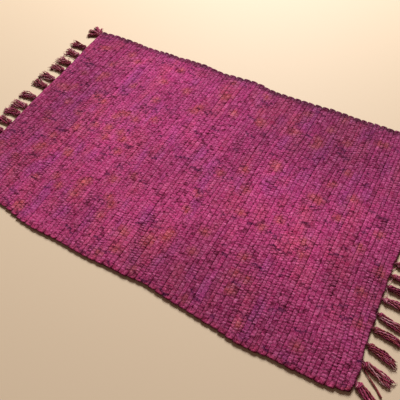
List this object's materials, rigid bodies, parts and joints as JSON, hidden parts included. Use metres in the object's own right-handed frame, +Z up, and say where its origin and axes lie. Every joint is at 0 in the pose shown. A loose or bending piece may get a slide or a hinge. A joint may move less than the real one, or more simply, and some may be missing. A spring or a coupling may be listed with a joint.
{
  "type": "rag rug",
  "caption": "Flat rectangular weft-faced rag rug with ribbed face, looped selvedges and knotted warp fringe at both ends, for use on a floor.",
  "frame": {"origin": "middle of the underside of the woven mat, which lies on the floor", "axes": "+X along the rug's length towards its right fringe, +Y across the width towards the back selvedge, +Z up"},
  "size_m": [1.1298, 0.6491, 0.0086],
  "materials": {
    "rag_weft": "dull woven cotton rag, raspberry with violet and orange flecks",
    "warp_yarn": "dull plied cotton yarn, dark wine"
  },
  "bodies": {
    "root": {"woven_mat": "rag_weft", "fringe_left": "warp_yarn", "fringe_right": "warp_yarn"}
  },
  "joints": []
}
